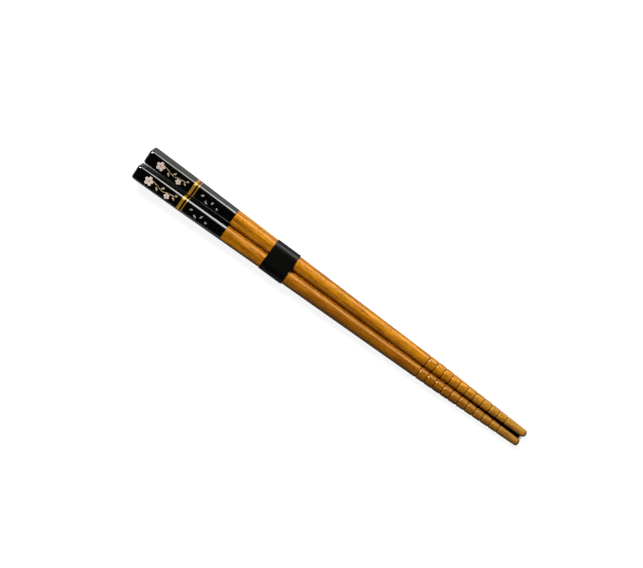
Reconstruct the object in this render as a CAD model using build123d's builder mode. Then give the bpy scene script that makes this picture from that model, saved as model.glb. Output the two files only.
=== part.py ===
"""Two wooden chopsticks held side by side by a band of black paper.

Each stick starts as a square bar with rounded edges and a rounded-over end. A cone turns
those edges down towards the band, and from there the stick is a slim round taper. From the
third ring groove on it tapers faster, down to a domed tip. The rings between the grooves
are parallel, each as thick as the taper is at its middle.

The band is drawn tight around both sticks, and its ends are glued one over the other on the
underside. The sticks touch along their slim tapers, so their axes lean towards each other
by the angle of that taper.

The pair lies as it comes to rest, on the band's edge and on the ring before the fast taper,
so its axes dip a little towards the tips. +X runs from the handles to the tips, +Y points to
the left stick and +Z up. The origin lies on the table, under the middle of the length.
"""

import os
from math import atan, cos, degrees, hypot, radians, sin, sqrt

from build123d import *

# Chopstick. Stations are measured along its own axis, from the end of its handle.
stick_length = 230.0
bar_side = 7.8
bar_edge_radius = 1.2
handle_end_rounding = 1.0
handle_turning_diameter = 10.3
band_station = 75.5
band_grip_diameter = 8.25
fast_taper_diameter = 6.39
tip_diameter = 3.8
tip_face_diameter = 1.4
tip_dome_length = 1.3

# Ring grooves near the tip
groove_count = 11
bare_tip_length = 12.4
groove_pitch = 4.81
groove_width = 0.7
groove_depth = 0.3
grooves_on_slim_taper = 2

# How the two sticks lie together
contact_clearance = 0.06
left_turn = 24.0
right_turn = 19.0
right_set_back = 0.5

# Paper band
band_width = 13.5
paper_thickness = 0.25
paper_clearance = 0.05
lap_width = 6.0

# Worked out from the sizes above
first_groove_station = stick_length - bare_tip_length - (groove_count - 1) * groove_pitch
fast_taper_station = first_groove_station + grooves_on_slim_taper * groove_pitch
slim_slope = (band_grip_diameter - fast_taper_diameter) / 2 / (fast_taper_station - band_station)
lean_angle = degrees(atan(slim_slope))
bare_radius_at_end = band_grip_diameter / 2 + slim_slope * band_station
axis_offset = bare_radius_at_end * cos(radians(lean_angle)) + contact_clearance / 2


def turned_radius(station):
    """Radius of the turned taper at a station: three cones, one after the other."""
    if station < band_station:
        start, end = 0, band_station
        start_diameter, end_diameter = handle_turning_diameter, band_grip_diameter
    elif station < fast_taper_station:
        start, end = band_station, fast_taper_station
        start_diameter, end_diameter = band_grip_diameter, fast_taper_diameter
    else:
        start, end = fast_taper_station, stick_length
        start_diameter, end_diameter = fast_taper_diameter, tip_diameter
    share = (station - start) / (end - start)
    return (start_diameter + share * (end_diameter - start_diameter)) / 2


# Rest: the line under the band's far edge and the far edge of the ring is the table.
band_end_station = band_station + band_width
band_reach = band_grip_diameter / 2 + paper_clearance + 2 * paper_thickness
rest_ring_station = fast_taper_station - groove_width / 2
rest_ring_reach = turned_radius(fast_taper_station - groove_pitch / 2)
dip_angle = degrees(atan((band_reach - rest_ring_reach) / (rest_ring_station - band_end_station)))
dip_cos, dip_sin = cos(radians(dip_angle)), sin(radians(dip_angle))
pair_plane = Plane(
    origin=(
        -(stick_length - right_set_back) / 2 * dip_cos,
        0,
        band_end_station * dip_sin + band_reach * dip_cos,
    ),
    x_dir=(dip_cos, 0, -dip_sin),
    z_dir=(dip_sin, 0, dip_cos),
)


def axis_direction(side):
    """Direction of a stick's axis, from handle to tip. side is 1 for the left one, -1 for the right."""
    lean = radians(lean_angle)
    return pair_plane.x_dir * cos(lean) - pair_plane.y_dir * side * sin(lean)


def axis_start(side, set_back):
    """Centre of a stick's handle end, set back from the other stick's along its own axis."""
    foot = pair_plane.origin + pair_plane.y_dir * side * axis_offset
    return foot - axis_direction(side) * set_back


def outline_point(station, depth=0):
    """Point of the outline at a station, a depth below the turned taper."""
    return (station, turned_radius(station) - depth)


def groove_points(middle, before, after):
    """The three points of one ring groove, a V between the stations that set its edges' radii."""
    near, far = middle - groove_width / 2, middle + groove_width / 2
    bottom = outline_point(middle, groove_depth)
    return [(near, turned_radius(before)), bottom, (far, turned_radius(after))]


def tip_dome():
    """Arc from the tip's flat face back to the taper: part of a ball centred on the axis."""
    rim_station = stick_length - tip_dome_length
    face_radius, rim_radius = tip_face_diameter / 2, turned_radius(rim_station)
    centre = (tip_dome_length**2 + rim_radius**2 - face_radius**2) / (2 * tip_dome_length)
    ball_radius = hypot(centre, face_radius)
    middle_radius = (face_radius + rim_radius) / 2
    middle = stick_length - centre + sqrt(ball_radius**2 - middle_radius**2)
    return ThreePointArc(
        (stick_length, face_radius), (middle, middle_radius), outline_point(rim_station)
    )


def turned_outline():
    """Half of the turned form, above its axis, from the handle's end to the tip."""
    points = [outline_point(0), outline_point(band_station)]
    for index in range(groove_count):
        middle = first_groove_station + index * groove_pitch
        before = middle - (groove_pitch if index > 0 else groove_width) / 2
        after = middle + (groove_pitch if index < groove_count - 1 else groove_width) / 2
        points += groove_points(middle, before, after)
    with BuildSketch() as outline:
        with BuildLine():
            dome = tip_dome()
            Polyline(*points, dome @ 1)
            Polyline(dome @ 0, (stick_length, 0), (0, 0), outline_point(0))
        make_face()
    return outline.sketch


def make_chopstick(side, turn, set_back):
    """One chopstick: the turned form, where it lies inside the square bar."""
    start, direction = axis_start(side, set_back), axis_direction(side)
    across = pair_plane.z_dir.cross(direction)
    with BuildPart() as bar:
        with BuildSketch(Plane(origin=start, x_dir=across, z_dir=direction)):
            RectangleRounded(bar_side, bar_side, bar_edge_radius, rotation=turn)
        extrude(amount=stick_length)
        handle_end = bar.faces().sort_by(Axis(start, direction))[0]
        fillet(handle_end.edges(), radius=min(handle_end_rounding, bar_edge_radius))
    with BuildPart() as chopstick:
        with BuildSketch(Plane(origin=start, x_dir=direction, z_dir=pair_plane.z_dir)):
            add(turned_outline())
        revolve(axis=Axis(start, direction))
        add(bar.part, mode=Mode.INTERSECT)
    return chopstick


def wrap_outline(distance):
    """Outline around both sticks where the band begins, a distance away from them.

    It is a slot around the two turned sections, flattened by each bar's outer side.
    """
    spread = axis_offset - slim_slope * band_station
    width = band_grip_diameter + 2 * distance
    with BuildSketch() as outline:
        SlotCenterToCenter(2 * spread, width)
        for side, turn in ((1, left_turn), (-1, right_turn)):
            inwards = Align.MAX if side > 0 else Align.MIN
            with Locations(Location((side * spread, 0), turn)):
                with Locations((side * (bar_side / 2 + distance), 0)):
                    Rectangle(3 * width, 3 * width, align=(inwards, Align.CENTER), mode=Mode.INTERSECT)
    return outline.sketch


os.makedirs("parts", exist_ok=True)

left_chopstick = make_chopstick(1, left_turn, 0)
left_chopstick.part.label = "left_chopstick"
export_step(left_chopstick.part, "parts/left_chopstick.step")

right_chopstick = make_chopstick(-1, right_turn, right_set_back)
right_chopstick.part.label = "right_chopstick"
export_step(right_chopstick.part, "parts/right_chopstick.step")

band_plane = Plane(
    origin=pair_plane.origin + pair_plane.x_dir * band_station,
    x_dir=pair_plane.y_dir,
    z_dir=pair_plane.x_dir,
)
with BuildPart() as paper_band:
    with BuildSketch(band_plane):
        add(wrap_outline(paper_clearance + paper_thickness))
        with Locations((0, paper_thickness - band_reach)):
            Rectangle(lap_width, 2 * paper_thickness)
        add(wrap_outline(paper_clearance), mode=Mode.SUBTRACT)
    extrude(amount=band_width)
paper_band.part.label = "paper_band"
export_step(paper_band.part, "parts/paper_band.step")
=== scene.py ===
"""A pair of chopsticks as a small Blender add-on: varnished wood, lacquered handles, a paper band.

Lengths are millimetres while a shape is worked out, and metres once it is a mesh. A station is
the distance along a stick's own axis from the end of its handle, and an angle goes round that
axis from straight out to the side, through the top.
"""

from math import atan, cos, pi, radians, sin

import bpy
import numpy as np
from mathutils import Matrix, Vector


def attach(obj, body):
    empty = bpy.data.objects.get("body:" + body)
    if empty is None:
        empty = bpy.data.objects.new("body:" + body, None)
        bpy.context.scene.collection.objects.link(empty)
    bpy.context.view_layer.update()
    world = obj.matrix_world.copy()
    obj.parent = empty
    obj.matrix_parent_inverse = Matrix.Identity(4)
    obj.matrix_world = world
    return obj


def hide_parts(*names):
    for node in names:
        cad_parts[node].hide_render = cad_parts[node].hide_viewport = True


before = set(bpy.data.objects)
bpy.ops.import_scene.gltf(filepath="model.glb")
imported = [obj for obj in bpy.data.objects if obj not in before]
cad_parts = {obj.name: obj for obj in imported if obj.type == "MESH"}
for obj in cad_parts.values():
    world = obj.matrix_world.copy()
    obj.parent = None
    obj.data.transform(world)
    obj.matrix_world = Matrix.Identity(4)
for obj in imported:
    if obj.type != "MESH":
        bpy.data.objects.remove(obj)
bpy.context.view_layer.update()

bl_info = {
    "name": "Pair of Chopsticks",
    "version": (1, 0, 0),
    "blender": (4, 5, 0),
    "location": "3D View > Sidebar > Chopsticks",
    "description": "Adds a banded pair of lacquered wooden chopsticks and a studio to show them in",
    "category": "Add Mesh",
}

MM = 0.001
SIDES = {"left": 1, "right": -1}

# How deep the wood's own colour is at five stations, the right stick being the darker piece
TONES = {
    "left": ([0, 80, 110, 140, 230], [0.05, 0.15, 0.35, 0.15, 0.2]),
    "right": ([0, 80, 120, 180, 230], [0.35, 0.5, 0.9, 0.95, 0.8]),
}
# How far each stick pales between the neck and the tip
PALING = {"left": ([180, 228], [0, 0.2]), "right": ([180, 228], [0, 0.12])}
# How far from a stick its grain and its lacquer's ripple are taken out of one pattern, in
# metres, the other way for the other stick
GRAIN_SHIFT = np.array([0, 0.031, 0.017])
RIPPLE_SHIFT = 0.04
# How far the darkening over a groove reaches, and how strong the painted shade at the tip's end
# is and how far it reaches
GROOVE_DARK_REACH = 0.3
TIP_SHADE = 1.45
TIP_SHADE_REACH = 1.0

# How much thicker than the tip the taper is where its rounding begins
TIP_SWELL = 0.02
# From the neck back to the edge of the last slim ring, on which the pair rests
RING_EDGE = 0.35

# How deep the lacquer's inner side lies in the wood, how near its front edge the stick's own
# rows may come, and over what length its coats end and to what share of their thickness
LACQUER_SINK = 0.03
LACQUER_ROOM = 0.4
LACQUER_TAIL = 0.06
LACQUER_TAIL_SHARE = 0.35

# The print. Blossoms have a station, a place across the face, a reach and a turn. The twig's
# runs, the leaves and the petals have a station, a place across, a length and a turn, and the
# rings have a station and a width.
BLOSSOMS = ((8.4, 0.2, 2.5, 0.3), (19.6, -0.9, 1.6, 0.9))
TWIG = (
    (12.2, 1.0, 3.6, -0.28),
    (15.3, 0.1, 3.2, -0.26),
    (18.2, 0.35, 3.4, 0.36),
    (21.6, 1.1, 3.9, 0.12),
)
LEAVES = (
    (13.6, -0.9, 2.2, -0.9),
    (16.2, 1.3, 2.1, 0.8),
    (22.9, 0.1, 2.0, -0.7),
    (23.6, 2.0, 1.5, 0.5),
)
PETALS = (
    (33.2, 0.9, 1.9, 0.5),
    (36.4, -1.0, 2.1, -0.4),
    (39.3, 0.6, 1.7, 1.1),
    (42.6, -0.5, 1.4, 0.1),
)
RINGS = ((27.2, 1.5), (29.2, 0.5))
# How deep the print's underside lies in the lacquer, and how far one layer stands on another
PRINT_SINK = 0.02
PRINT_STEP = 0.006
# Each ink's metallic share, roughness and slot
INKS = {
    "ivory": (0.0, 0.45, "ivory_print"),
    "beige": (0.0, 0.45, "ivory_print"),
    "gold": (0.55, 0.35, "gold_print"),
    "silver": (0.35, 0.35, "silver_print"),
}

# Shares of the band's width at which its rows stand, close together at its two cut edges, and
# the share of the paper's thickness at the cut edges themselves
BAND_ROWS = np.array([0, 0.04, 0.2, 3, 6.75, 10.5, 13.3, 13.46, 13.5]) / 13.5
CUT_EDGE = 0.82

# The studio, in metres. Each lamp has the setting of its power, its place, and its sides.
LAMPS = {
    "window_lamp": ("window_power", (-0.645, 0.55, 0.85), (0.36, 0.36)),
    "strip_lamp": ("strip_power", (0.0, 2.0, 0.95), (1.1, 1.3)),
    "fill_lamp": ("fill_power", (0.0, -2.0, 1.05), (1.1, 0.3)),
}
FLOOR_DROP = 2e-5
AIM = (-0.0095, 0.0033, 0.007)
SENSOR_MM = 36
WINDOW_WAY = (-0.59, 0.81, 0)
# The floor between the sticks, which carries a painted shadow: its middle in X, and how far from
# the middle the painted shadow fades out
GAP_MIDDLE = 0.0045
GAP_FADE_ALONG = (0.109, 0.1107)
GAP_FADE_ACROSS = (0.0012, 0.0022)
# How far from the sticks the floor's white starts to grow, and where it is full
WHITE_FROM, WHITE_TO = 0.5, 2.0

# Sockets of a Mix node that mixes colours
SHARE, FIRST, SECOND, MIXED = 0, 6, 7, 2


def length(name, description, millimetres):
    """A size in metres with a name and a description, given in millimetres."""
    return bpy.props.FloatProperty(
        name=name, description=description, default=millimetres * MM, unit="LENGTH", precision=5
    )


def number(name, description, default, unit="NONE", **limits):
    """A level, a power or an angle with a name and a description."""
    return bpy.props.FloatProperty(
        name=name, description=description, default=default, unit=unit, **limits
    )


def colour(name, description, written):
    """A colour with a name and a description, given as an sRGB hex value."""
    return bpy.props.FloatVectorProperty(
        name=name, description=description, default=linear(written)[:3],
        subtype="COLOR", size=3, min=0, max=1,
    )


def linear(written):
    """Turns an sRGB hex value such as #C88A2E into linear red, green, blue and alpha."""
    parts = np.array([int(written[i:i + 2], 16) / 255 for i in (1, 3, 5)])
    bright = ((parts + 0.055) / 1.055) ** 2.4
    return tuple(np.where(parts <= 0.04045, parts / 12.92, bright).tolist()) + (1.0,)


class StickSizes(bpy.types.PropertyGroup):
    """Sizes of one chopstick and of how the two lie together."""

    stick_length: length("Length", "From the end of the handle to the tip", 230)
    bar_side: length("Handle side", "Side of the square bar that the handle is", 7.8)
    bar_edge: length("Handle edge", "Radius of the handle's long edges", 1.2)
    handle_turning: length("Turning at the end", "Diameter of the cone at the handle's end", 10.3)
    handle_rounding: length("End rounding", "Radius of the edges round the handle's end", 1.0)
    corner_reach: length("End corners", "From the axis to where the long edges meet the end", 4.05)
    corner_run: length("Corner run", "How far before the end the long edges start to fall", 3.0)
    band_station: length("Start of the taper", "Where the slim taper begins, under the band", 75.5)
    band_diameter: length("Diameter at the band", "Diameter of the taper where it begins", 8.25)
    neck_station: length("Start of the fast taper", "Where the stick tapers faster", 179.12)
    neck_diameter: length("Diameter at the neck", "Diameter where the fast taper begins", 6.39)
    tip_diameter: length("Tip diameter", "Diameter at the tip before it is rounded", 3.8)
    tip_rounding: length("Tip rounding", "Radius that rounds the tip over", 1.4)
    first_groove: length("First groove", "Station of the first ring groove", 169.5)
    groove_pitch: length("Groove pitch", "From one ring groove to the next", 4.81)
    groove_depth: length("Groove depth", "Depth of a ring groove", 0.28)
    groove_wall: length("Groove wall", "Reach of a groove's steep side, towards the handle", 0.28)
    groove_slope: length("Groove slope", "Reach of its gentle side, towards the tip", 0.54)
    edge_ease: length("Edge easing", "How far an edge between flat and cone is softened", 0.12)
    clearance: length("Clearance", "Room between the two sticks where they meet", 0.06)
    set_back: length("Set back", "How far the right stick lies behind the left one", 0.5)
    groove_count: bpy.props.IntProperty(
        name="Grooves", description="How many ring grooves a stick has", default=11, min=1, max=30
    )
    left_turn: number("Left turn", "Turn of the left stick on its axis", radians(24), "ROTATION")
    right_turn: number("Right turn", "Turn of the right stick on its axis", radians(19), "ROTATION")


class CoatSizes(bpy.types.PropertyGroup):
    """Sizes of the lacquer, the print and the paper band."""

    left_lacquer: length("Left lacquer", "Length of lacquer on the left stick", 51.6)
    right_lacquer: length("Right lacquer", "Length of lacquer on the right stick", 52.5)
    lacquer_thickness: length("Lacquer thickness", "Thickness of the coats of lacquer", 0.04)
    print_thickness: length("Print thickness", "How far the print stands on the lacquer", 0.02)
    band_width: length("Band width", "Width of the paper band along the sticks", 13.5)
    paper_thickness: length("Paper thickness", "Thickness of the band's paper", 0.25)
    paper_clearance: length("Paper clearance", "Room between the paper and the sticks", 0.05)
    lap_width: length("Lap width", "How far the band's glued ends lie over each other", 6)


class FinishColours(bpy.types.PropertyGroup):
    """Colours of the finishes."""

    wood_light: colour("Light wood", "Wood between the streaks of grain", "#D08A11")
    wood_dark: colour("Dark wood", "Streaks of grain", "#935207")
    deep_light: colour("Light wood, deeper", "The same where the colour is deepest", "#9A5D0B")
    deep_dark: colour("Dark wood, deeper", "Streaks of grain there", "#623403")
    wood_pale: colour("Pale wood", "What the wood pales towards near the tips", "#BCB25E")
    # Colour of the darkening over the grooves and of the painted shade at the tip's end
    wood_stain: colour("Stain", "Varnish that has gathered in the grooves", "#4C2703")
    wood_pore: colour("Pores", "Short fine pores in the wood", "#6A3806")
    lacquer: colour("Lacquer", "Black lacquer of the handles", "#040403")
    paper: colour("Paper", "Black paper of the band", "#040403")
    ivory: colour("Ivory print", "Blossoms", "#DCC9BE")
    beige: colour("Beige print", "Twig and leaves", "#B9A07C")
    gold: colour("Gold print", "Rings and flower centres", "#C9952B")
    silver: colour("Silver print", "Drifting petals", "#A9AFAE")


class StudioSettings(bpy.types.PropertyGroup):
    """The floor, the lamps and the camera."""

    floor_side: length("Floor", "Side of the square floor", 6000)
    floor_colour: colour("Floor", "Paint of the floor and backdrop", "#717170")
    floor_glow: number("Floor white", "White that the floor adds for the eye", 0.9, min=0)
    window_power: number("Window", "Power of the square lamp behind the handles", 22, "POWER")
    strip_power: number("Strip", "Power of the large lamp beside the left stick", 27, "POWER")
    fill_power: number("Fill", "Power of the narrow lamp beside the right stick", 2, "POWER")
    room_level: number("Room", "Light of the low parts of the room", 0.32, min=0)
    turn: number("Camera turn", "Turn about the line of sight", radians(36.2), "ROTATION")
    frame_width: length("Frame width", "Width that the picture spans at the sticks", 313.8)
    lens: number("Lens", "Focal length of the camera", 80, "CAMERA")


# The sticks' form


def sizes():
    """The stick sizes of the open scene in millimetres, counts and turns as they are."""
    group = bpy.context.scene.stick_sizes
    given = {name: getattr(group, name) for name in StickSizes.__annotations__}
    plain = ("groove_count", "left_turn", "right_turn")
    return {name: value if name in plain else value / MM for name, value in given.items()}


def coats():
    """The coat sizes of the open scene in millimetres."""
    group = bpy.context.scene.coat_sizes
    return {name: getattr(group, name) / MM for name in CoatSizes.__annotations__}


def turned_reach(size, station):
    """Radius of the turned taper: straight lines from diameter to diameter along the axis."""
    stations = [0, size["band_station"], size["neck_station"], size["stick_length"]]
    names = ("handle_turning", "band_diameter", "neck_diameter", "tip_diameter")
    return np.interp(station, stations, [size[name] for name in names]) / 2


def square_reach(size, angle, turn, inset=0):
    """Distance from the axis to the bar's side in a direction, with the side drawn in by an inset.

    The direction is folded to within an eighth of a turn of the nearest side's middle. On the
    flat the distance is half the side over the cosine, and on the rounded edge it is where the
    direction meets the edge's circle.
    """
    half, edge = size["bar_side"] / 2 - inset, size["bar_edge"] - inset
    folded = np.abs((angle - turn + pi / 4) % (pi / 2) - pi / 4)
    centre = half - edge
    along = centre * (np.cos(folded) + np.sin(folded))
    on_edge = along + np.sqrt(np.maximum(along**2 - 2 * centre**2 + edge**2, 0))
    return np.where(folded < np.arctan(centre / half), half / np.cos(folded), on_edge)


def soft_least(a, b, ease):
    """The lesser of two distances, eased by a parabola where they are within ease of each other."""
    share = np.clip(0.5 + 0.5 * (b - a) / ease, 0, 1)
    return b + share * (a - b) - ease * share * (1 - share)


def from_grooves(size, station):
    """How far each station lies past each ring groove's middle."""
    middles = size["first_groove"] + np.arange(size["groove_count"]) * size["groove_pitch"]
    return station[:, None] - middles


def groove_cut(size, station):
    """How far the ring grooves cut in at a station.

    Each groove is a bell curve, narrow towards the handle and wide towards the tip, where the
    tool has rounded the next ring's edge.
    """
    off = from_grooves(size, station)
    bells = np.exp(-((off / np.where(off < 0, size["groove_wall"], size["groove_slope"])) ** 2))
    return size["groove_depth"] * bells.max(axis=1)


def groove_and_tip_darkening(size, station):
    """How much the wood is darkened at a station.

    A bell curve over each groove, and a last, higher one at the tip's end, which is painted shade
    standing in for the dark rim there.
    """
    off = np.abs(from_grooves(size, station)).min(axis=1)
    left = size["stick_length"] - station
    # Painted shade at the tip's end: a higher darkening over its last millimetre
    painted_tip_shade = TIP_SHADE * np.exp(-((left / TIP_SHADE_REACH) ** 2))
    return np.maximum(np.exp(-((off / GROOVE_DARK_REACH) ** 2)), painted_tip_shade)


def rows(station, radius, inset=0, share=1, facing=1):
    """Rows of a stick's surface as one array, a row's five numbers side by side."""
    return np.column_stack(np.broadcast_arrays(station, radius, inset, share, facing))


def profile(size):
    """Rows of a stick from pole to pole: station, turned radius, inset, share and facing.

    The handle's face, a quarter circle that rounds its edges over, a longer quarter ellipse
    over which the bar's long edges fall away, the taper with its grooves, a quarter circle at
    the tip, and the tip's face. The inset is how far the bar's sides have drawn in, the share
    draws a row towards the axis, and the facing is 0 where the surface looks back along the
    axis and 1 where it looks straight out.
    """
    ease, tip_ease = size["handle_rounding"], size["tip_rounding"]
    total, first, pitch = size["stick_length"], size["first_groove"], size["groove_pitch"]
    face = rows(0, size["corner_reach"], ease, np.array([0, 0.45, 0.85]), 0)
    swing = np.linspace(0, pi / 2, 10)
    falling = np.arange(1.2, 3.4, 0.3)
    station = np.concatenate([ease * (1 - np.cos(swing)), falling])
    run = np.clip(1 - station / size["corner_run"], 0, 1)
    fall = (turned_reach(size, 0) - size["corner_reach"]) * (1 - np.sqrt(1 - run**2))
    facing = np.sin(np.concatenate([swing, np.full(len(falling), pi / 2)]))
    handle = rows(station, turned_reach(size, station) - fall, ease * (1 - facing), 1, facing)
    # The start, the end and the step of each run of rows on the plain part
    runs = ((4, 12, 1), (12, 74, 2.5), (74, 106, 1.2), (106, first - 2.4, 3.5))
    plain = [np.arange(*run) for run in runs]
    # Rows about a groove's middle, closest together on its two sides
    off = np.concatenate([
        [-2.2, -1.5, -1.0], np.arange(-0.75, 0.3, 0.075), np.arange(0.3, 1.3, 0.09), [1.6, 2.1]
    ])
    grooved = (first + np.arange(size["groove_count"])[:, None] * pitch + off).ravel()
    bare = np.linspace(grooved[-1] + 0.8, total - tip_ease - 0.2, 8)
    station = np.concatenate(plain + [grooved, bare])
    body = rows(station, turned_reach(size, station) - groove_cut(size, station))
    tip_reach = size["tip_diameter"] / 2 + TIP_SWELL - tip_ease
    swing = np.linspace(radians(80), 0, 11)
    tip = rows(total - tip_ease * (1 - np.cos(swing)), tip_reach + tip_ease * np.sin(swing))
    tip_face = rows(total, tip_reach * np.array([0.5, 0]))
    return np.concatenate([face, handle, body, tip, tip_face])


def surface(size, turn, row, angle):
    """Distance from the axis to the wood's surface for rows of the profile and angles round it."""
    _, radius, inset, share, _ = row.T[..., None]
    return share * soft_least(square_reach(size, angle, turn, inset), radius, size["edge_ease"])


def skin_reach(size, turn, station, angle):
    """Distance from the axis to the wood's surface on the plain part of a stick."""
    flat = square_reach(size, angle, turn)
    return soft_least(flat, turned_reach(size, station), size["edge_ease"])


def round_angles(turn):
    """Angles once round a stick, closer together over the four rounded edges.

    They are laid out in degrees over a quarter: first across a flat, then over the edge.
    """
    quarter = np.concatenate([np.linspace(-34.6, 34.6, 23), np.linspace(34.6, 55.4, 19)[1:-1]])
    return np.concatenate([radians(90) * k + np.radians(quarter) for k in range(4)]) + turn


class Lie:
    """Where one stick lies: the middle of its handle's end, and its own three directions.

    The two axes lean together by the angle of the slim taper, so the sticks meet along it. The
    pair dips towards the tips until it lies on the band's far edge and the last slim ring.
    """

    def __init__(self, size, coat, side):
        band, neck = size["band_station"], size["neck_station"]
        slope = (size["band_diameter"] - size["neck_diameter"]) / 2 / (neck - band)
        lean = atan(slope)
        offset = (size["band_diameter"] / 2 + slope * band) * cos(lean) + size["clearance"] / 2
        reach = size["band_diameter"] / 2 + coat["paper_clearance"] + 2 * coat["paper_thickness"]
        edge = band + coat["band_width"]
        ring_reach = turned_reach(size, neck - size["groove_pitch"] / 2)
        dip = atan((reach - ring_reach) / (neck - RING_EDGE - edge))
        ahead = np.array([cos(dip), 0, -sin(dip)])
        over = np.array([0.0, 1.0, 0.0])
        half = (size["stick_length"] - size["set_back"]) / 2
        middle = np.array([-half * cos(dip), 0, edge * sin(dip) + reach * cos(dip)])
        self.up = np.array([sin(dip), 0, cos(dip)])
        self.pair = (middle, ahead, over, self.up)
        self.spread = offset - slope * band
        self.side = side
        self.turn = size["left_turn"] if side > 0 else size["right_turn"]
        self.along = ahead * cos(lean) - over * side * sin(lean)
        self.across = np.cross(self.up, self.along)
        back = size["set_back"] if side < 0 else 0
        self.start = middle + over * side * offset - self.along * back

    def place(self, station, angle, reach):
        """A point at a station, an angle round the axis and a distance from it."""
        station, angle, reach = np.broadcast_arrays(station, angle, reach)
        return (
            self.start
            + station[..., None] * self.along
            + (reach * np.cos(angle))[..., None] * self.across
            + (reach * np.sin(angle))[..., None] * self.up
        )

    def own(self, points):
        """The same points in the stick's own directions and in metres, for the grain."""
        away = points - self.start
        return np.stack([away @ self.along, away @ self.across, away @ self.up], axis=-1) * MM


# Meshes


def finish_mesh(name, points, quads, fans, material, slot, marks=None, sharp=35):
    """Makes a mesh object from points in millimetres, four-cornered faces and three-cornered ones.

    Its signed volume, the sum of the triple products of its faces, tells whether they face
    outwards, and they are turned round if not. Each of the marks is a value or a place for
    every point, which the material reads by its name. An edge is sharp past an angle in degrees.
    """
    triangles = np.concatenate([quads[:, [0, 1, 2]], quads[:, [0, 2, 3]], fans])
    a, b, c = (points[triangles[:, k]] - points.mean(axis=0) for k in range(3))
    if np.einsum("ij,ij->i", a, np.cross(b, c)).sum() < 0:
        quads, fans = quads[:, ::-1], fans[:, ::-1]
    data = bpy.data.meshes.new(name)
    data.from_pydata((points * MM).tolist(), [], quads.tolist() + fans.tolist())
    data.polygons.foreach_set("use_smooth", np.ones(len(data.polygons), bool))
    for mark, values in (marks or {}).items():
        kind, field = ("FLOAT_VECTOR", "vector") if values.ndim == 2 else ("FLOAT", "value")
        layer = data.attributes.new(mark, kind, "POINT")
        layer.data.foreach_set(field, values.astype(np.float32).ravel())
    data.validate()
    data.set_sharp_from_angle(angle=radians(sharp))
    data.materials.append(material)
    piece = bpy.data.objects.new(name, data)
    bpy.context.scene.collection.objects.link(piece)
    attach(piece, "root")
    return piece


def net_faces(steps, rows, columns):
    """Four-cornered faces from each row of points to the next, all the way round.

    Where there are as many steps as rows, the last row is joined to the first.
    """
    i, j = np.meshgrid(np.arange(steps), np.arange(columns), indexing="ij")
    below, after = (i + 1) % rows, (j + 1) % columns
    corners = (i * columns + j, i * columns + after, below * columns + after, below * columns + j)
    return np.stack(corners, axis=-1).reshape(-1, 4)


def pole_faces(rows, columns):
    """Faces of a form closed at two poles: point 0, then rows of points, then the last point."""
    j = np.arange(columns)
    after = (j + 1) % columns
    last_row = 1 + (rows - 1) * columns
    first_fan = np.stack([np.zeros(columns, int), 1 + after, 1 + j], axis=-1)
    last = np.full(columns, 1 + rows * columns)
    last_fan = np.stack([last, last_row + j, last_row + after], axis=-1)
    return 1 + net_faces(rows - 1, rows, columns), np.concatenate([first_fan, last_fan])


def pole_points(grid):
    """Points of such a form from a grid whose first and last rows each stand at one point."""
    inner = grid[1:-1].reshape(-1, 3)
    return np.concatenate([grid[0].mean(axis=0)[None], inner, grid[-1].mean(axis=0)[None]])


def pole_values(values, columns):
    """One value for every point of such a form, from one value for each of its rows."""
    return np.concatenate([values[:1], np.repeat(values[1:-1], columns), values[-1:]])


def ring_faces(rows, columns):
    """Faces of a form that closes on itself both ways, as a ring does."""
    return net_faces(rows, rows, columns), np.zeros((0, 3), int)


# Materials


def add_node(tree, kind, inputs=None, **settings):
    """Adds a node with its settings. inputs gives each socket a value or another node's socket."""
    node = tree.nodes.new(kind)
    for name, value in settings.items():
        setattr(node, name, value)
    for socket, value in (inputs or {}).items():
        if isinstance(value, bpy.types.NodeSocket):
            tree.links.new(value, node.inputs[socket])
        else:
            node.inputs[socket].default_value = value
    return node


def new_material(name):
    """An empty material with its output node. Returns both and the node tree."""
    material = bpy.data.materials.new(name)
    material.use_nodes = True
    tree = material.node_tree
    tree.nodes.clear()
    return material, tree, tree.nodes.new("ShaderNodeOutputMaterial")


def paint(name):
    """A finish colour of the open scene with alpha."""
    return tuple(getattr(bpy.context.scene.finish_colours, name)) + (1.0,)


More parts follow.
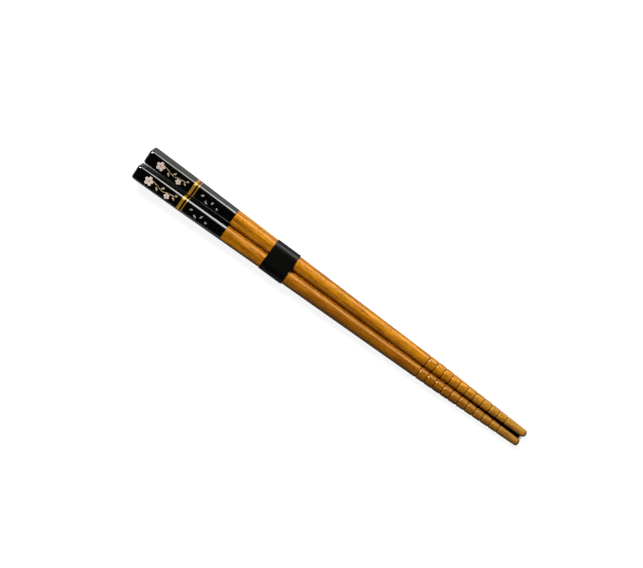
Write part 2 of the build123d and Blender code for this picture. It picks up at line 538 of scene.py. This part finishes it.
def varnished_wood():
    """Varnished hardwood, planed and turned.

    The eye sees amber wood with fine darker streaks along the stick, short pores, and a satin
    varnish that gives long soft highlights. The grooves are darker, and the tip's end is
    darkened as painted shade. Streaks are about 0.5 mm wide and 12 mm long, pores 0.3 mm wide
    and 3 mm long, and bands of tone 1.7 mm wide. Scales are how many go to a metre, along the
    stick and across it.
    """
    material, tree, output = new_material("satin varnished hardwood")
    place = add_node(tree, "ShaderNodeAttribute", attribute_name="grain_place").outputs["Vector"]
    stain, depth, pale = (
        add_node(tree, "ShaderNodeAttribute", attribute_name=mark).outputs["Fac"]
        for mark in ("stain", "depth_of_tone", "paleness")
    )
    patterns = []
    for scale, detail, roughness in (
        ((80, 1800, 1800), 4.0, 0.6), ((7, 600, 600), 2.0, 0.5), ((330, 3300, 3300), 1.0, 0.5)
    ):
        drawn = add_node(tree, "ShaderNodeMapping", {"Vector": place, "Scale": scale})
        noise = add_node(tree, "ShaderNodeTexNoise", {
            "Vector": drawn.outputs[0], "Scale": 1.0, "Detail": detail, "Roughness": roughness,
        })
        patterns.append(noise.outputs["Fac"])
    streak, tone, pore = patterns
    streaks = add_node(tree, "ShaderNodeMapRange", {
        "Value": streak, "From Min": 0.43, "From Max": 0.58,
    })
    tones = add_node(tree, "ShaderNodeMapRange", {"Value": tone, "From Min": 0.3, "From Max": 0.7})
    dents = add_node(tree, "ShaderNodeMapRange", {
        "Value": pore, "From Min": 0.54, "From Max": 0.66, "To Max": 0.7,
    })
    fine = add_node(tree, "ShaderNodeMath", {0: streaks.outputs[0], 1: 0.66}, operation="MULTIPLY")
    both = add_node(
        tree, "ShaderNodeMath", {0: tones.outputs[0], 1: 0.38, 2: fine.outputs[0]},
        operation="MULTIPLY_ADD",
    ).outputs[0]
    # Darkening over the grooves, and painted shade at the tip's end
    darkened_share = add_node(tree, "ShaderNodeMath", {0: stain, 1: 0.68}, operation="MULTIPLY")
    grain, deep = (
        add_node(
            tree, "ShaderNodeMix", {SHARE: both, FIRST: paint(light), SECOND: paint(dark)},
            data_type="RGBA",
        ).outputs[MIXED]
        for light, dark in (("wood_light", "wood_dark"), ("deep_light", "deep_dark"))
    )
    look = grain
    for share, second in (
        (depth, deep),
        (pale, paint("wood_pale")),
        (dents.outputs[0], paint("wood_pore")),
        (darkened_share.outputs[0], paint("wood_stain")),
    ):
        look = add_node(
            tree, "ShaderNodeMix", {SHARE: share, FIRST: look, SECOND: second}, data_type="RGBA"
        ).outputs[MIXED]
    bump = add_node(tree, "ShaderNodeBump", {
        "Height": streak, "Strength": 0.15, "Distance": 0.00004,
    })
    rough = add_node(tree, "ShaderNodeMapRange", {"Value": tone, "To Min": 0.19, "To Max": 0.31})
    shader = add_node(tree, "ShaderNodeBsdfPrincipled", {
        "Base Color": look, "Roughness": rough.outputs[0], "Normal": bump.outputs[0],
        "Specular IOR Level": 0.45, "Specular Tint": linear("#FFDFAC"),
    })
    tree.links.new(shader.outputs[0], output.inputs[0])
    return material


def black_lacquer():
    """Black lacquer, brushed on in several coats and polished.

    The eye sees a deep black with sharp reflections and, close up, the faint ripple of the
    brushed coats, about 1.5 mm across, and fine wiping marks along the stick.
    """
    material, tree, output = new_material("polished black lacquer")
    place = add_node(tree, "ShaderNodeAttribute", attribute_name="grain_place").outputs["Vector"]
    patterns = []
    for scale, detail in (((160, 650, 650), 2.0), ((120, 7000, 7000), 3.0)):
        drawn = add_node(tree, "ShaderNodeMapping", {"Vector": place, "Scale": scale})
        noise = add_node(tree, "ShaderNodeTexNoise", {
            "Vector": drawn.outputs[0], "Scale": 1.0, "Detail": detail,
        })
        patterns.append(noise.outputs["Fac"])
    ripple, wipe = patterns
    rough = add_node(tree, "ShaderNodeMapRange", {
        "Value": wipe, "From Min": 0.4, "From Max": 0.75, "To Min": 0.07, "To Max": 0.2,
    })
    bump = add_node(tree, "ShaderNodeBump", {
        "Height": ripple, "Strength": 0.2, "Distance": 0.00004,
    })
    tint = add_node(
        tree, "ShaderNodeMix", {SHARE: ripple, FIRST: paint("lacquer"), SECOND: linear("#080705")},
        data_type="RGBA",
    )
    shader = add_node(tree, "ShaderNodeBsdfPrincipled", {
        "Base Color": tint.outputs[MIXED], "Roughness": rough.outputs[0], "Normal": bump.outputs[0],
        "IOR": 1.55, "Coat Weight": 1.0, "Coat Roughness": 0.05, "Coat IOR": 1.55,
    })
    tree.links.new(shader.outputs[0], output.inputs[0])
    return material


def black_paper():
    """Dyed black paper with a smooth calendered face.

    The eye sees a near black that is a little grey where light grazes it, with fibres about
    0.2 mm wide that lie every way and barely show.
    """
    material, tree, output = new_material("calendered black paper")
    place = add_node(tree, "ShaderNodeTexCoord").outputs["Object"]
    fibre = add_node(tree, "ShaderNodeTexNoise", {
        "Vector": place, "Scale": 5200.0, "Detail": 3.0, "Distortion": 1.2,
    }).outputs["Fac"]
    cloud = add_node(tree, "ShaderNodeTexNoise", {
        "Vector": place, "Scale": 420.0, "Detail": 2.0,
    }).outputs["Fac"]
    tint = add_node(
        tree, "ShaderNodeMix", {SHARE: cloud, FIRST: paint("paper"), SECOND: linear("#080807")},
        data_type="RGBA",
    )
    rough = add_node(tree, "ShaderNodeMapRange", {"Value": fibre, "To Min": 0.22, "To Max": 0.32})
    bump = add_node(tree, "ShaderNodeBump", {
        "Height": fibre, "Strength": 0.12, "Distance": 0.00002,
    })
    shader = add_node(tree, "ShaderNodeBsdfPrincipled", {
        "Base Color": tint.outputs[MIXED], "Roughness": rough.outputs[0], "Normal": bump.outputs[0],
        "Specular IOR Level": 0.2,
    })
    tree.links.new(shader.outputs[0], output.inputs[0])
    return material


def print_ink(ink, metallic, roughness):
    """Opaque screen ink under clear lacquer.

    The eye sees one colour with the slight unevenness of ink pushed through a mesh, about
    0.25 mm from dot to dot, and metal flakes where the ink is gold or silver.
    """
    material, tree, output = new_material(f"{ink} screen ink")
    place = add_node(tree, "ShaderNodeTexCoord").outputs["Object"]
    dots = add_node(tree, "ShaderNodeTexNoise", {
        "Vector": place, "Scale": 4000.0, "Detail": 2.0,
    }).outputs["Fac"]
    shade = add_node(tree, "ShaderNodeMapRange", {
        "Value": dots, "From Min": 0.3, "From Max": 0.7, "To Min": 0.0, "To Max": 0.35,
    })
    full = paint(ink)
    thin = tuple(0.6 * c for c in full[:3]) + (1.0,)
    tint = add_node(
        tree, "ShaderNodeMix", {SHARE: shade.outputs[0], FIRST: full, SECOND: thin},
        data_type="RGBA",
    )
    bump = add_node(tree, "ShaderNodeBump", {
        "Height": dots, "Strength": 0.15, "Distance": 0.00002,
    })
    shader = add_node(tree, "ShaderNodeBsdfPrincipled", {
        "Base Color": tint.outputs[MIXED], "Metallic": metallic, "Roughness": roughness,
        "Normal": bump.outputs[0], "Coat Weight": 0.4, "Coat Roughness": 0.1,
    })
    tree.links.new(shader.outputs[0], output.inputs[0])
    return material


# Pieces


class CHOPSTICKS_OT_wood(bpy.types.Operator):
    """Add the two wooden sticks"""

    bl_idname = "chopsticks.wood"
    bl_label = "Wood"

    def execute(self, context):
        """Each stick is its outline carried round its axis, cut by the square of the bar."""
        size, coat = sizes(), coats()
        outline = profile(size)
        material = varnished_wood()
        for word, side in SIDES.items():
            lie = Lie(size, coat, side)
            angle = round_angles(lie.turn)
            reach = surface(size, lie.turn, outline, angle)
            points = pole_points(lie.place(outline[:, :1], angle[None, :], reach))
            quads, fans = pole_faces(len(outline) - 2, len(angle))
            station = outline[:, 0]
            marks = {
                # Darkening over the grooves, and painted shade at the tip's end
                "stain": groove_and_tip_darkening(size, station),
                "paleness": np.interp(station, *PALING[word]),
                "depth_of_tone": np.interp(station, *TONES[word]),
            }
            marks = {mark: pole_values(values, len(angle)) for mark, values in marks.items()}
            marks["grain_place"] = lie.own(points) + GRAIN_SHIFT * side
            shape = points, quads, fans
            piece = finish_mesh(f"{word}_wood", *shape, material, "varnished_wood", marks)
            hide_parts(f"{word}_chopstick")
        return {"FINISHED"}


class CHOPSTICKS_OT_lacquer(bpy.types.Operator):
    """Add the black lacquer on the two handles"""

    bl_idname = "chopsticks.lacquer"
    bl_label = "Lacquer"

    def execute(self, context):
        """A thin closed skin: out along the wood's surface, lifted, and back just below it."""
        size, coat = sizes(), coats()
        outline = profile(size)
        material = black_lacquer()
        thick = coat["lacquer_thickness"]
        for word, side in SIDES.items():
            lie = Lie(size, coat, side)
            end = coat[f"{word}_lacquer"]
            tail = np.array([end - LACQUER_TAIL, end])
            plain = outline[outline[:, 0] < end - LACQUER_ROOM]
            path = np.concatenate([plain, rows(tail, turned_reach(size, tail))])
            angle = round_angles(lie.turn)
            reach = surface(size, lie.turn, path, angle)
            station, facing = path[:, :1], path[:, 4:]
            back = np.sqrt(1 - facing**2)
            lift = np.full((len(path), 1), thick)
            lift[-1] = thick * LACQUER_TAIL_SHARE
            outer = lie.place(station - lift * back, angle, reach + lift * facing)
            inner = lie.place(station + LACQUER_SINK * back, angle, reach - LACQUER_SINK * facing)
            points = pole_points(np.concatenate([outer, inner[::-1]]))
            quads, fans = pole_faces(2 * len(path) - 2, len(angle))
            marks = {"grain_place": lie.own(points) + RIPPLE_SHIFT * side}
            finish_mesh(f"{word}_lacquer", points, quads, fans, material, "black_lacquer", marks)
        return {"FINISHED"}


class CHOPSTICKS_OT_print(bpy.types.Operator):
    """Add the printed blossoms, twig, rings and petals"""

    bl_idname = "chopsticks.print"
    bl_label = "Print"

    def execute(self, context):
        """Motifs and rings, raised on the lacquer.

        A motif is a closed patch whose rim is a curve about its middle. A ring is a flat
        section of six corners carried round the handle.
        """
        size, coat = sizes(), coats()
        inks = {
            ink: (print_ink(ink, metallic, roughness), slot)
            for ink, (metallic, roughness, slot) in INKS.items()
        }
        low = coat["lacquer_thickness"] - PRINT_SINK
        high = coat["lacquer_thickness"] + coat["print_thickness"]
        section = np.array([(-0.5, 0), (-0.5, 1), (0, 1), (0.5, 1), (0.5, 0), (0, 0)])
        for word, side in SIDES.items():
            lie = Lie(size, coat, side)
            for count, (ink, station, across, rim, level) in enumerate(motifs()):
                grid = patch(size, lie, station, across, rim, low, high + level * PRINT_STEP)
                quads, fans = pole_faces(len(grid) - 2, grid.shape[1])
                name = f"{word}_{ink}_motif_{count:02d}"
                finish_mesh(name, pole_points(grid), quads, fans, *inks[ink], sharp=25)
            angle = round_angles(lie.turn)
            for count, (middle, width) in enumerate(RINGS):
                station = middle + width * section[:, :1]
                lift = low + (high - low) * section[:, 1:]
                reach = skin_reach(size, lie.turn, station, angle) + lift
                points = lie.place(station, angle, reach).reshape(-1, 3)
                quads, fans = ring_faces(len(section), len(angle))
                name = f"{word}_gold_ring_{count}"
                finish_mesh(name, points, quads, fans, *inks["gold"], sharp=40)
        return {"FINISHED"}


def turned(x, y, turn):
    """Points of a curve, turned about its middle."""
    return np.column_stack([x * cos(turn) - y * sin(turn), x * sin(turn) + y * cos(turn)])


def petal_rim(long, wide, turn):
    """Rim of a round petal: an ellipse with a bell-shaped nick in its outer end."""
    swing = np.linspace(-pi, pi, 64, endpoint=False)
    pull = 1 - 0.2 * np.exp(-((swing / 0.3) ** 2))
    return turned(long / 2 * np.cos(swing) * pull, wide / 2 * np.sin(swing) * pull, turn)


def leaf_rim(long, wide, turn):
    """Rim of a pointed leaf: its half width is the sine of the way round to the power 1.6."""
    swing = np.linspace(0, 2 * pi, 48, endpoint=False)
    half_width = wide / 2 * np.sin(swing) * np.abs(np.sin(swing)) ** 0.6
    return turned(long / 2 * np.cos(swing), half_width, turn)


def dot_rim(reach):
    """Rim of a round dot."""
    swing = np.linspace(0, 2 * pi, 20, endpoint=False)
    return reach * np.column_stack([np.cos(swing), np.sin(swing)])


def motifs():
    """The printed motifs: ink, station, place across the face, rim, and how many layers up.

    A blossom has five petals round its middle, a small dot between each two and a large one in
    the middle, all sized as shares of its reach.
    """
    found = []
    for station, across, reach, turn in BLOSSOMS:
        petal = 0.84 * reach, 0.7 * reach
        for count in range(5):
            way = turn + 2 * pi * count / 5
            x, y = 0.58 * reach * cos(way), 0.58 * reach * sin(way)
            found.append(("ivory", station + x, across + y, petal_rim(*petal, way), 1))
            way += pi / 5
            x, y = 0.33 * reach * cos(way), 0.33 * reach * sin(way)
            found.append(("gold", station + x, across + y, dot_rim(0.05 * reach), 2))
        found.append(("gold", station, across, dot_rim(0.17 * reach), 2))
    groups = (("beige", TWIG, 0.42), ("beige", LEAVES, 0.95), ("silver", PETALS, 1.0))
    for ink, group, wide in groups:
        for station, across, long, turn in group:
            found.append((ink, station, across, leaf_rim(long, wide, turn), 0))
    return found


def patch(size, lie, station, across, rim, low, high):
    """A patch on the printed face, from its top's middle over its rim to its underside's middle.

    A point of the rim is drawn towards the middle by shares, and the rim's edge is a little
    lower than the top. On the face, a place across it is the tangent of its angle times half
    the bar's side.
    """
    shares = np.array([0, 0.5, 0.97, 1.0, 1.0, 0.5, 0])
    lifts = np.array([high, high, high, high - 0.3 * (high - low), low, low, low])
    stations = station + shares[:, None] * rim[None, :, 0]
    offs = across + shares[:, None] * rim[None, :, 1]
    angle = lie.turn + pi / 2 - np.arctan2(offs, size["bar_side"] / 2)
    reach = skin_reach(size, lie.turn, stations, angle)
    return lie.place(stations, angle, reach + lifts[:, None])


class CHOPSTICKS_OT_band(bpy.types.Operator):
    """Add the paper band"""

    bl_idname = "chopsticks.band"
    bl_label = "Paper band"

    def execute(self, context):
        """The strip's own section is carried round both sticks.

        For each direction round the pair, the point of the two sections that lies furthest that
        way is where the tight paper touches, and the paper stands off it along that direction.
        Under the lap it stands off by one thickness more.
        """
        size, coat = sizes(), coats()
        lies = [Lie(size, coat, side) for side in SIDES.values()]
        middle, ahead, over, up = lies[0].pair
        way = np.linspace(0, 2 * pi, 720, endpoint=False)
        outward = np.column_stack([np.cos(way), np.sin(way)])
        angle = np.linspace(0, 2 * pi, 1440, endpoint=False)
        touched = []
        for lie in lies:
            reach = skin_reach(size, lie.turn, size["band_station"], angle)
            aside = lie.side * lie.spread + reach * np.cos(angle)
            touched.append(np.column_stack([aside, reach * np.sin(angle)]))
        touched = np.concatenate(touched)
        touch = touched[np.argmax(touched @ outward.T, axis=0)]
        thick, half = coat["paper_thickness"], coat["lap_width"] / 2
        lap = (touch[:, 1] < 0) & (np.abs(touch[:, 0] + outward[:, 0] * thick) <= half)
        run = BAND_ROWS * coat["band_width"]
        onward = np.concatenate([run, run[::-1]])
        raised = np.repeat([1.0, 0.0], len(run))
        raised[[0, len(run) - 1]] = CUT_EDGE
        stand = coat["paper_clearance"] + raised * thick
        stand = stand[:, None] + np.where(lap, thick, 0)[None, :] * (raised[:, None] > 0)
        section = touch[None] + outward[None] * stand[..., None]
        points = (
            middle
            + (size["band_station"] + onward)[:, None, None] * ahead
            + section[..., :1] * over
            + section[..., 1:] * up
        ).reshape(-1, 3)
        shape = points, *ring_faces(len(onward), len(way))
        piece = finish_mesh("band_wrap", *shape, black_paper(), "black_paper", sharp=50)
        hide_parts("paper_band")
        return {"FINISHED"}


class CHOPSTICKS_OT_studio(bpy.types.Operator):
    """Add the floor, the lamps, the room and the camera"""

    bl_idname = "chopsticks.studio"
    bl_label = "Studio"

    def execute(self, context):
        """A pale floor, three lamps that face the sticks, a dim room, and a camera above.

        The camera hangs so high that the picture's width spans the frame width.
        """
        scene = context.scene
        studio = scene.studio_settings
        scene.view_settings.view_transform = "Standard"
        half = studio.floor_side / 2
        data = bpy.data.meshes.new("studio_floor")
        square = ((-half, -half), (half, -half), (half, half), (-half, half))
        data.from_pydata([(x, y, -FLOOR_DROP) for x, y in square], [], [(0, 1, 2, 3)])
        data.materials.append(floor_paint())
        floor = bpy.data.objects.new("studio_floor", data)
        scene.collection.objects.link(floor)
        for name, (power, place, (wide, high)) in LAMPS.items():
            lamp = bpy.data.lights.new(name, "AREA")
            lamp.shape, lamp.size, lamp.size_y = "RECTANGLE", wide, high
            lamp.energy = getattr(studio, power)
            holder = bpy.data.objects.new(name, lamp)
            holder.location = place
            holder.rotation_euler = (-Vector(place)).to_track_quat("-Z", "Y").to_euler()
            scene.collection.objects.link(holder)
        scene.world = room_light()
        camera = bpy.data.cameras.new("overhead_camera")
        camera.lens, camera.sensor_width = studio.lens, SENSOR_MM
        camera.clip_start, camera.clip_end = 0.05, 20
        holder = bpy.data.objects.new("overhead_camera", camera)
        x, y, z = AIM
        holder.location = (x, y, z + studio.frame_width * studio.lens / SENSOR_MM)
        holder.rotation_euler = (0, 0, studio.turn)
        scene.collection.objects.link(holder)
        scene.camera = holder
        return {"FINISHED"}


def room_light():
    """A room that is pale near the floor, lightest towards the window, and dark overhead.

    The level falls from full to almost none between 25 and 42 degrees above the floor. Past
    the floor's edge the camera sees plain white.
    """
    world = bpy.data.worlds.new("studio_room")
    world.use_nodes = True
    tree = world.node_tree
    tree.nodes.clear()
    way = add_node(tree, "ShaderNodeTexCoord").outputs["Generated"]
    height = add_node(tree, "ShaderNodeSeparateXYZ", {0: way})
    low = add_node(
        tree, "ShaderNodeMapRange", {
            "Value": height.outputs["Z"], "To Min": 1.0, "To Max": 0.01,
            "From Min": sin(radians(25)), "From Max": sin(radians(42)),
        },
        interpolation_type="SMOOTHSTEP",
    )
    towards = add_node(
        tree, "ShaderNodeVectorMath", {0: way, 1: WINDOW_WAY}, operation="DOT_PRODUCT"
    )
    lighter = add_node(tree, "ShaderNodeMapRange", {
        "Value": towards.outputs["Value"],
        "From Min": -0.8, "From Max": 0.8, "To Min": 0.15, "To Max": 1.0,
    })
    level = bpy.context.scene.studio_settings.room_level
    for other in (lighter, low):
        level = add_node(
            tree, "ShaderNodeMath", {0: other.outputs[0], 1: level}, operation="MULTIPLY"
        ).outputs[0]
    rays = add_node(tree, "ShaderNodeLightPath")
    room = add_node(tree, "ShaderNodeBackground", {"Color": (1, 1, 1, 1), "Strength": level})
    seen = add_node(tree, "ShaderNodeBackground", {"Color": (1, 1, 1, 1), "Strength": 1.0})
    both = add_node(tree, "ShaderNodeMixShader", {
        0: rays.outputs["Is Camera Ray"], 1: room.outputs[0], 2: seen.outputs[0],
    })
    add_node(tree, "ShaderNodeOutputWorld", {0: both.outputs[0]})
    return world


def floor_paint():
    """Matt pale paint on a seamless backdrop.

    The eye sees plain white that keeps a soft shadow. Part of the white is added for the camera,
    and a little of it for shiny surfaces. It grows to full white from 0.5 to 2 m away, where the
    lamps' own light gives out. It leaves out the gap between the two sticks, and there the paint
    turns dark brown as a painted shadow: a strip 3.4 mm wide that begins 10 mm in from the
    handles' ends and runs to the tips.
    """
    studio = bpy.context.scene.studio_settings
    material, tree, output = new_material("matt pale backdrop paint")
    place = add_node(tree, "ShaderNodeTexCoord").outputs["Object"]
    roller = add_node(tree, "ShaderNodeTexNoise", {"Vector": place, "Scale": 900.0, "Detail": 2.0})
    bump = add_node(tree, "ShaderNodeBump", {
        "Height": roller.outputs["Fac"], "Strength": 0.05, "Distance": 0.00005,
    })
    parts = add_node(tree, "ShaderNodeSeparateXYZ", {0: place})
    onward = add_node(
        tree, "ShaderNodeMath", {0: parts.outputs["X"], 1: GAP_MIDDLE}, operation="SUBTRACT"
    )
    edges = []
    for off, (near, far) in (
        (onward.outputs[0], GAP_FADE_ALONG), (parts.outputs["Y"], GAP_FADE_ACROSS)
    ):
        away = add_node(tree, "ShaderNodeMath", {0: off}, operation="ABSOLUTE")
        edge = add_node(tree, "ShaderNodeMapRange", {
            "Value": away.outputs[0], "From Min": near, "From Max": far,
        })
        edges.append(edge.outputs[0])
    clear = add_node(
        tree, "ShaderNodeMath", {0: edges[0], 1: edges[1]}, operation="MAXIMUM"
    ).outputs[0]
    # Painted shadow: the paint turns dark brown in the gap between the sticks
    shade = add_node(
        tree, "ShaderNodeMix",
        {SHARE: clear, FIRST: linear("#1C0E06"), SECOND: tuple(studio.floor_colour) + (1.0,)},
        data_type="RGBA",
    )
    matt = add_node(tree, "ShaderNodeBsdfDiffuse", {
        "Color": shade.outputs[MIXED], "Normal": bump.outputs[0],
    })
    rays = add_node(tree, "ShaderNodeLightPath")
    seen = add_node(
        tree, "ShaderNodeMath",
        {0: rays.outputs["Is Camera Ray"], 1: rays.outputs["Is Transmission Ray"]},
        operation="MAXIMUM",
    )
    near = add_node(
        tree, "ShaderNodeMath", {0: rays.outputs["Is Glossy Ray"], 1: 0.08, 2: seen.outputs[0]},
        operation="MULTIPLY_ADD",
    )
    away = add_node(tree, "ShaderNodeVectorMath", {0: place}, operation="LENGTH")
    white = add_node(tree, "ShaderNodeMapRange", {
        "Value": away.outputs["Value"], "From Min": WHITE_FROM, "From Max": WHITE_TO,
        "To Min": studio.floor_glow, "To Max": 1.0,
    })
    share = add_node(tree, "ShaderNodeMath", {0: near.outputs[0], 1: clear}, operation="MULTIPLY")
    level = add_node(
        tree, "ShaderNodeMath", {0: share.outputs[0], 1: white.outputs[0]}, operation="MULTIPLY"
    )
    glow = add_node(tree, "ShaderNodeEmission", {
        "Color": (1, 1, 1, 1), "Strength": level.outputs[0],
    })
    both = add_node(tree, "ShaderNodeAddShader", {0: matt.outputs[0], 1: glow.outputs[0]})
    tree.links.new(both.outputs[0], output.inputs[0])
    return material


class CHOPSTICKS_PT_sidebar(bpy.types.Panel):
    """Buttons for the pieces and the studio"""

    bl_label = "Chopsticks"
    bl_idname = "CHOPSTICKS_PT_sidebar"
    bl_space_type = "VIEW_3D"
    bl_region_type = "UI"
    bl_category = "Chopsticks"

    def draw(self, context):
        """Lists the operators, then the sizes and the colours."""
        for operator in OPERATORS:
            self.layout.operator(operator.bl_idname)
        for name, group in GROUPS:
            box = self.layout.box()
            box.label(text=group.__doc__)
            for setting in group.__annotations__:
                box.prop(getattr(context.scene, name), setting)


OPERATORS = (
    CHOPSTICKS_OT_wood,
    CHOPSTICKS_OT_lacquer,
    CHOPSTICKS_OT_print,
    CHOPSTICKS_OT_band,
    CHOPSTICKS_OT_studio,
)
GROUPS = (
    ("stick_sizes", StickSizes),
    ("coat_sizes", CoatSizes),
    ("finish_colours", FinishColours),
    ("studio_settings", StudioSettings),
)


def register():
    """Registers the classes and hangs the settings on the scene."""
    for name, group in GROUPS:
        bpy.utils.register_class(group)
        setattr(bpy.types.Scene, name, bpy.props.PointerProperty(type=group))
    for cls in OPERATORS + (CHOPSTICKS_PT_sidebar,):
        bpy.utils.register_class(cls)


def unregister():
    """Takes the settings and the classes away again."""
    for cls in (CHOPSTICKS_PT_sidebar,) + OPERATORS[::-1]:
        bpy.utils.unregister_class(cls)
    for name, group in GROUPS[::-1]:
        delattr(bpy.types.Scene, name)
        bpy.utils.unregister_class(group)


def corners(box):
    """The lowest and highest corner of a box as plain lists of numbers."""
    return [[float(value) for value in corner] for corner in box]


def main():
    register()
    bpy.ops.chopsticks.wood()
    bpy.ops.chopsticks.lacquer()
    bpy.ops.chopsticks.print()
    bpy.ops.chopsticks.band()
    bpy.ops.chopsticks.studio()


if __name__ == "__main__":
    main()
